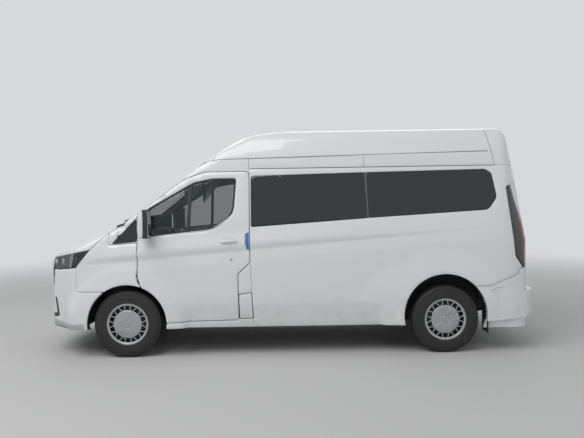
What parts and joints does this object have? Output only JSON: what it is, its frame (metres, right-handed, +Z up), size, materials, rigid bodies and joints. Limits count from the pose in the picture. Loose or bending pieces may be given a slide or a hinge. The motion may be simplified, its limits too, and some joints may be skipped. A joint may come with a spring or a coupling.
{
  "type": "minibus",
  "caption": "High-roof minibus with hinged front doors, sliding side door, tailgate, bonnet, seat rows and steerable wheels.",
  "frame": {"origin": "on the ground, under the middle of the length and width", "axes": "+Z up, nose towards -X, left side of the vehicle towards -Y"},
  "size_m": [5.34, 2.28, 2.39],
  "materials": {
    "paint": "glossy white",
    "clear_glass": "clear, slightly green",
    "dark_glass": "privacy tint",
    "lamp_lens": "clear",
    "lamp_housing": "dark",
    "tail_lens": "dark red",
    "black_trim": "black grained",
    "flap_rubber": "black",
    "underbody": "dark underseal",
    "engine_metal": "cast",
    "black_steel": "black chassis paint",
    "exhaust_steel": "dull",
    "tank_plastic": "black",
    "tyre_rubber": "black",
    "wheel_silver": "silver",
    "seat_cloth": "dark grey cloth",
    "dash_plastic": "dark grey grained"
  },
  "bodies": {
    "body": {"roof": "paint", "left_body_side": "paint", "right_body_side": "paint", "sliding_door": "paint", "front_wings": "paint", "front_bumper": "paint", "rear_bumper": "paint", "windscreen": "clear_glass", "quarter_glass": "dark_glass", "left_side_glass": "dark_glass", "right_side_glass": "dark_glass", "sliding_door_glass": "dark_glass", "headlamp_lenses": "lamp_lens", "headlamps": "lamp_housing", "tail_lamps": "tail_lens", "grille": "black_trim", "cowl": "black_trim", "wipers": "black_trim", "mud_flaps": "flap_rubber", "floor": "underbody", "front_structure": "underbody", "engine_block": "engine_metal", "front_suspension": "black_steel", "rear_axle": "black_steel", "leaf_springs": "black_steel", "prop_shaft": "black_steel", "exhaust": "exhaust_steel", "fuel_tank": "tank_plastic", "spare_wheel": "tyre_rubber", "front_seats": "seat_cloth", "rear_seats": "seat_cloth", "dashboard": "dash_plastic"},
    "left_front_door": {"left_door": "paint", "left_door_glass": "clear_glass", "left_mirror": "paint"},
    "right_front_door": {"right_door": "paint", "right_door_glass": "clear_glass", "right_mirror": "paint"},
    "rear_gate": {"tailgate": "paint", "tailgate_glass": "dark_glass"},
    "bonnet_lid": {"bonnet": "paint"},
    "flap": {"fuel_flap": "paint"},
    "hand_wheel": {"steering_wheel": "dash_plastic"},
    "left_hub": {"left_knuckle": "black_steel"},
    "right_hub": {"right_knuckle": "black_steel"},
    "left_front": {"left_front_tyre": "tyre_rubber", "left_front_wheel": "wheel_silver"},
    "right_front": {"right_front_tyre": "tyre_rubber", "right_front_wheel": "wheel_silver"},
    "left_rear": {"left_rear_tyre": "tyre_rubber", "left_rear_wheel": "wheel_silver"},
    "right_rear": {"right_rear_tyre": "tyre_rubber", "right_rear_wheel": "wheel_silver"}
  },
  "joints": [
    {"name": "left_door_hinge", "type": "hinge", "parent": "body", "child": "left_front_door", "pos_m": [-1.551, -0.982, 0.97], "axis": [0, 0, -1], "range_deg": [0, 68]},
    {"name": "right_door_hinge", "type": "hinge", "parent": "body", "child": "right_front_door", "pos_m": [-1.551, 0.982, 0.97], "axis": [0, 0, 1], "range_deg": [0, 68]},
    {"name": "tailgate_hinge", "type": "hinge", "parent": "body", "child": "rear_gate", "pos_m": [2.421, 0, 2.0555], "axis": [0, -1, 0], "range_deg": [0, 80]},
    {"name": "bonnet_hinge", "type": "hinge", "parent": "body", "child": "bonnet_lid", "pos_m": [-1.79, 0, 1.366], "axis": [0, 1, 0], "range_deg": [0, 45]},
    {"name": "fuel_flap_hinge", "type": "hinge", "parent": "body", "child": "flap", "pos_m": [-0.382, -0.9805, 0.62], "axis": [0, 0, 1], "range_deg": [0, 85]},
    {"name": "left_steer", "type": "hinge", "parent": "body", "child": "left_hub", "pos_m": [-1.67, -0.79, 0.35], "axis": [0, 0, 1], "range_deg": [-35, 35]},
    {"name": "right_steer", "type": "hinge", "parent": "body", "child": "right_hub", "pos_m": [-1.67, 0.79, 0.35], "axis": [0, 0, 1], "range_deg": [-35, 35]},
    {"name": "steering_wheel_turn", "type": "hinge", "parent": "body", "child": "hand_wheel", "pos_m": [-1.215, -0.43, 1.15], "axis": [0.8211, 0, 0.5708], "range_deg": [-490, 490]},
    {"name": "left_front_spin", "type": "hinge", "parent": "left_hub", "child": "left_front", "pos_m": [-1.67, -0.868, 0.35], "axis": [0, 1, 0], "continuous": true},
    {"name": "right_front_spin", "type": "hinge", "parent": "right_hub", "child": "right_front", "pos_m": [-1.67, 0.868, 0.35], "axis": [0, 1, 0], "continuous": true},
    {"name": "left_rear_spin", "type": "hinge", "parent": "body", "child": "left_rear", "pos_m": [1.63, -0.868, 0.35], "axis": [0, 1, 0], "continuous": true},
    {"name": "right_rear_spin", "type": "hinge", "parent": "body", "child": "right_rear", "pos_m": [1.63, 0.868, 0.35], "axis": [0, 1, 0], "continuous": true}
  ],
  "couplings": [
    {"joint": "right_steer", "follows": "left_steer", "ratio": 1},
    {"joint": "steering_wheel_turn", "follows": "left_steer", "ratio": 14}
  ]
}
